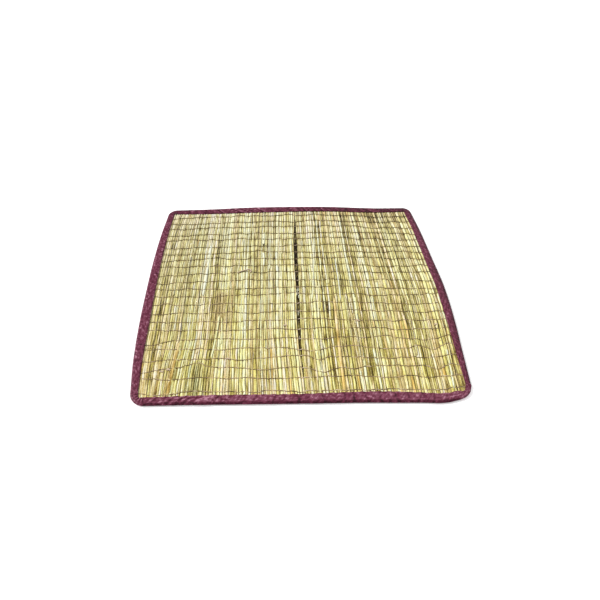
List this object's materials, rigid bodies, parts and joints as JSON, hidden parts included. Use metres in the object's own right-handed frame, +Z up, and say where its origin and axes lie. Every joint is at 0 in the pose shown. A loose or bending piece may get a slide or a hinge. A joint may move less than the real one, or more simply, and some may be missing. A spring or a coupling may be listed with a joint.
{
  "type": "kusa grass mat",
  "caption": "Flat square mat of dry kusa grass stalks with a slit where the stalks have parted, its edges bound in folded satin tape.",
  "frame": {"origin": "on the floor, under the middle of the mat's bounding box", "axes": "+Z up, +Y along the stalks towards the back edge, +X across them to the right as seen from the front"},
  "size_m": [0.6248, 0.6103, 0.0066],
  "materials": {
    "grass": "dry straw stalks, faint sheen along them",
    "satin": "maroon satin tape, soft sheen"
  },
  "bodies": {
    "root": {"grass_panel": "grass", "binding": "satin"}
  },
  "joints": []
}
